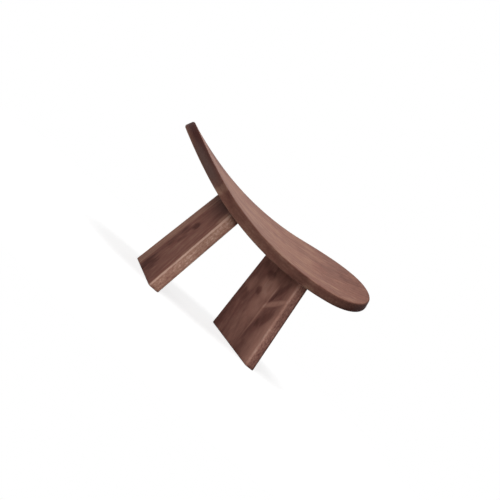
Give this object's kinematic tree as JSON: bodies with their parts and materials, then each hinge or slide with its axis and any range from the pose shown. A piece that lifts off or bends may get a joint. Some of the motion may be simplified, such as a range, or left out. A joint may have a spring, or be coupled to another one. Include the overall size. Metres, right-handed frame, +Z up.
{
  "type": "kneeling stool",
  "caption": "Low wooden kneeling stool: a round-ended seat board, bent along its length and sloped forward, on splayed and tapered board legs with room for the shins between them.",
  "frame": {"origin": "on the floor, below the middle of the seat board", "axes": "+X along the seat, to the right as seen from the front; +Y from the front to the back; +Z up"},
  "size_m": [0.4544, 0.2215, 0.2382],
  "materials": {
    "seat_wood": "satin lacquer over a dark reddish-brown stain",
    "leg_wood": "satin lacquer over a dark reddish-brown stain",
    "dowel_wood": "bare, glued"
  },
  "bodies": {
    "root": {"seat": "seat_wood", "left_leg": "leg_wood", "right_leg": "leg_wood", "left_dowel_1": "dowel_wood", "left_dowel_2": "dowel_wood", "left_dowel_3": "dowel_wood", "right_dowel_1": "dowel_wood", "right_dowel_2": "dowel_wood", "right_dowel_3": "dowel_wood"}
  },
  "joints": []
}
